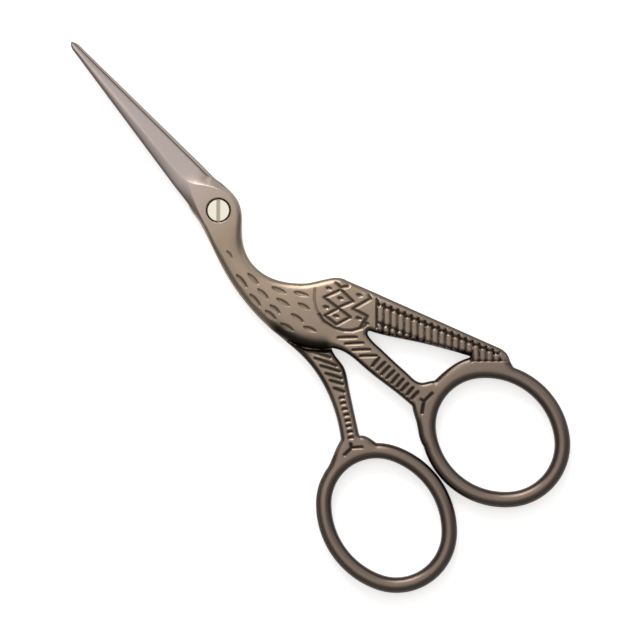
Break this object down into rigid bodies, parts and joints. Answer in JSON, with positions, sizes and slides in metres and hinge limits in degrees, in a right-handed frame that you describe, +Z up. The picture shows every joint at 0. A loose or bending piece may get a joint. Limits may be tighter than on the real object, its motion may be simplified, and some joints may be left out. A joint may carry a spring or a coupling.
{
  "type": "embroidery scissors",
  "caption": "Stork-shaped embroidery scissors with slender straight blades, a carved bird body, oval finger loops and a slotted pivot screw.",
  "frame": {"origin": "on the pivot axis, in the plane that the closed scissors rest on", "axes": "+X from the pivot to the points of the blades, +Y towards the rear half's finger loop, +Z up, out of the front half's face"},
  "size_m": [0.1148, 0.0478, 0.0036],
  "materials": {
    "coated_steel": "satin dark bronze coating over forged steel",
    "polished_steel": "polished"
  },
  "bodies": {
    "rear": {"rear_half": "coated_steel", "pivot_screw": "polished_steel"},
    "front": {"front_half": "coated_steel"}
  },
  "joints": [
    {"name": "blade_hinge", "type": "hinge", "parent": "rear", "child": "front", "pos_m": [0, 0, 0.0018], "axis": [0, 0, 1], "range_deg": [0, 60]}
  ]
}
